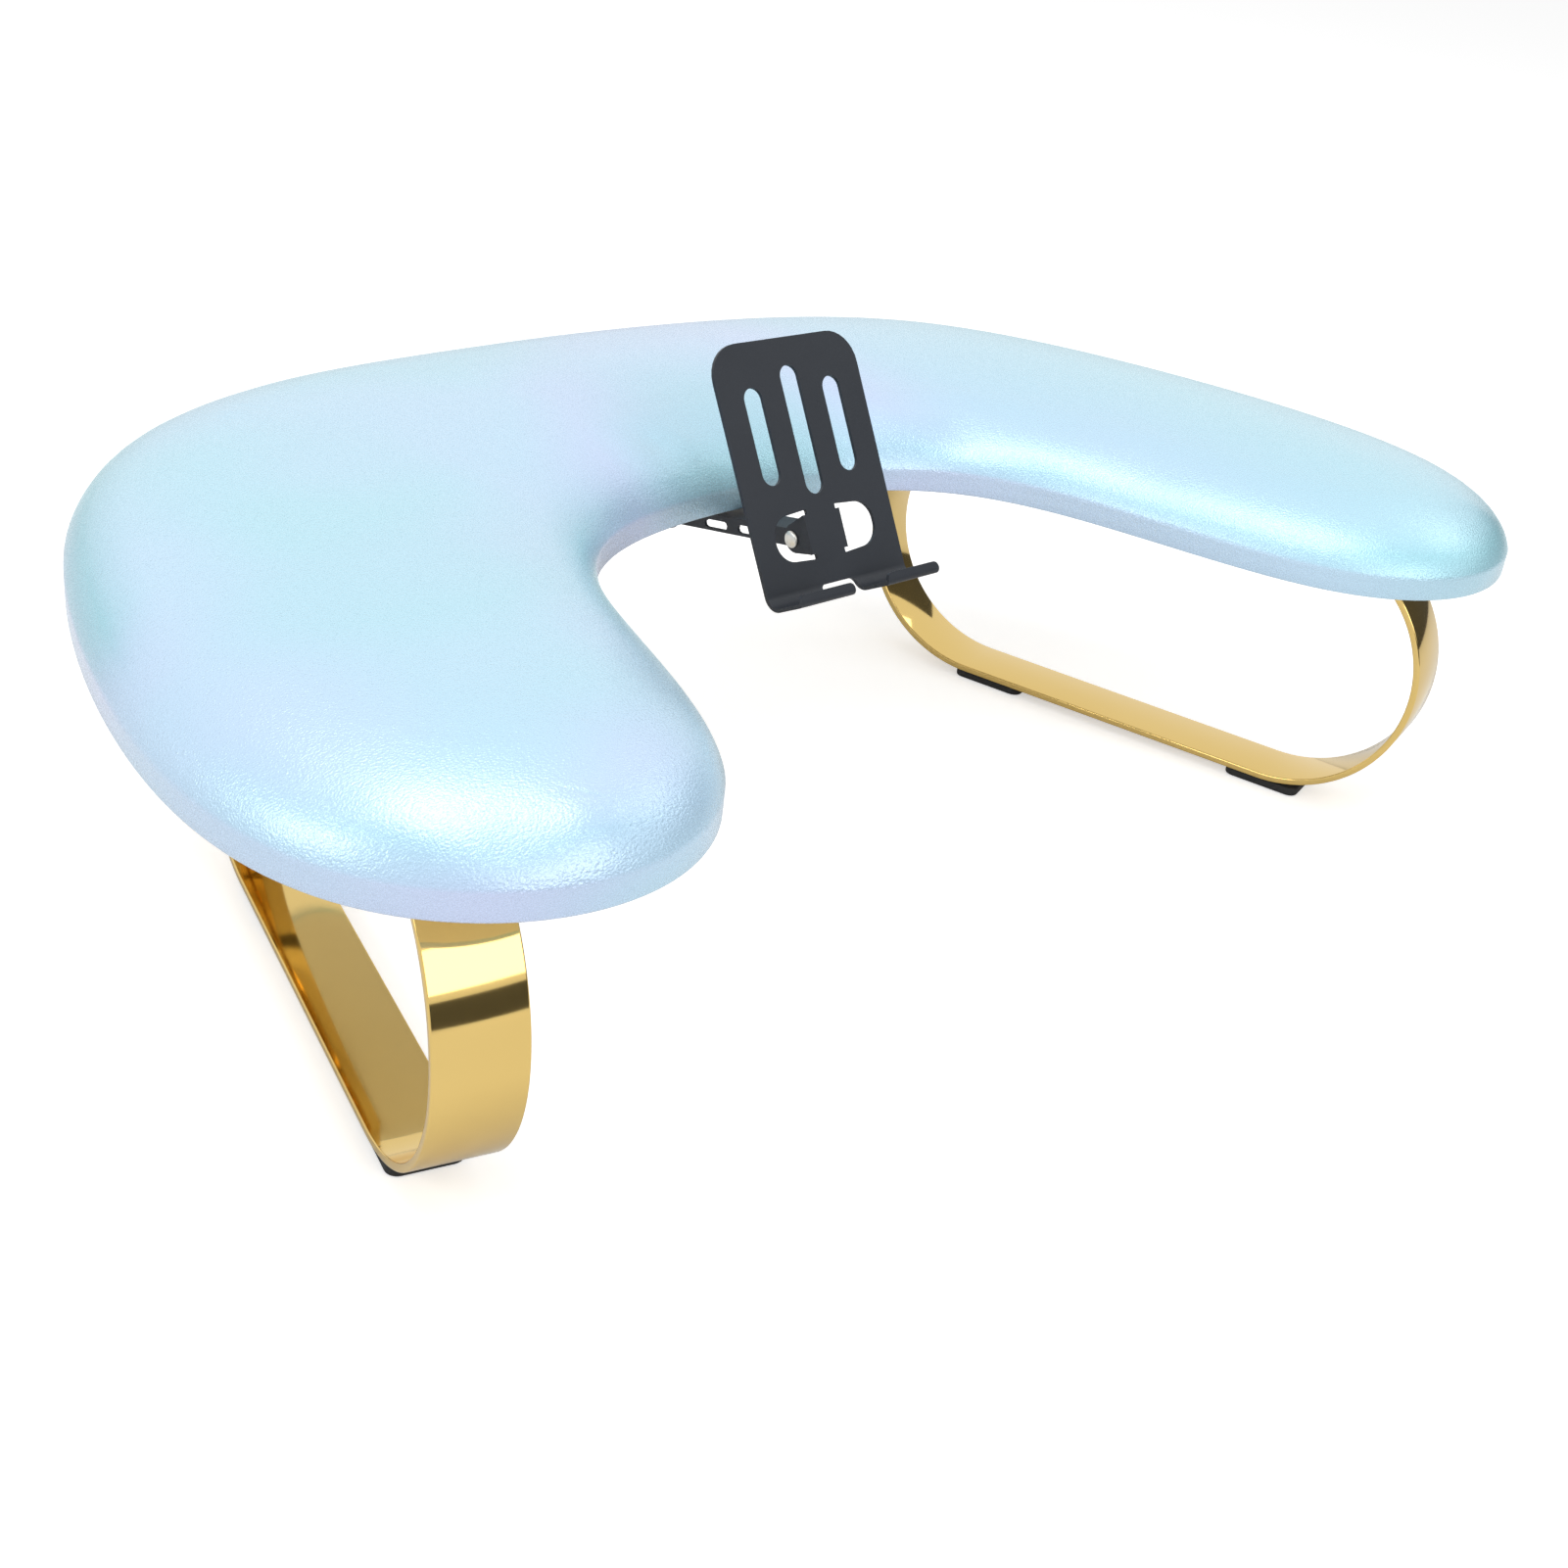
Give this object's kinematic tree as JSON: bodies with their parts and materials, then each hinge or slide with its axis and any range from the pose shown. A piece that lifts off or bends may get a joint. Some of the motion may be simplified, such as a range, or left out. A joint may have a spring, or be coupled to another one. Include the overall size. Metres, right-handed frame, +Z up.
{
  "type": "manicure hand rest",
  "caption": "Padded U-shaped hand rest for manicures on two gold flat-bar loop legs, with a black tilting phone holder in its front bay.",
  "frame": {"origin": "on the floor, below the middle of the rest's plan", "axes": "+X along the rest's width, +Y away from the phone holder's bay, +Z up"},
  "size_m": [0.6074, 0.3775, 0.2041],
  "materials": {
    "leather": "pearlescent light blue leathercloth, fine grain",
    "foam": "open-cell cushion foam",
    "plywood": "raw plywood",
    "cloth": "thin non-woven dust cloth",
    "gold": "mirror-polished gold plate on steel flat bar",
    "rubber": "black, matte",
    "zinc": "zinc plated",
    "black": "matte charcoal powder coat",
    "nickel": "satin nickel"
  },
  "bodies": {
    "rest": {"leather_cover": "leather", "foam_core": "foam", "base_board": "plywood", "backing_sheet": "cloth", "leg_loop_left": "gold", "leg_loop_right": "gold", "foot_pad_left_front": "rubber", "foot_pad_left_rear": "rubber", "foot_pad_right_front": "rubber", "foot_pad_right_rear": "rubber", "leg_screw_left_front": "gold", "leg_screw_left_rear": "gold", "leg_screw_right_front": "gold", "leg_screw_right_rear": "gold", "tee_nut_left_front": "zinc", "tee_nut_left_rear": "zinc", "tee_nut_right_front": "zinc", "tee_nut_right_rear": "zinc", "holder_bracket": "black", "bracket_screw_left": "zinc", "bracket_screw_right": "zinc", "arm_rivet": "nickel"},
    "arm": {"holder_arm": "black", "plate_rivet": "nickel"},
    "plate": {"phone_plate": "black"}
  },
  "joints": [
    {"name": "arm_hinge", "type": "hinge", "parent": "rest", "child": "arm", "pos_m": [0, 0.0577, 0.1158], "axis": [1, 0, 0], "range_deg": [0, 55]},
    {"name": "plate_hinge", "type": "hinge", "parent": "arm", "child": "plate", "pos_m": [0, -0.0171, 0.1331], "axis": [1, 0, 0], "range_deg": [-35, 30]}
  ]
}
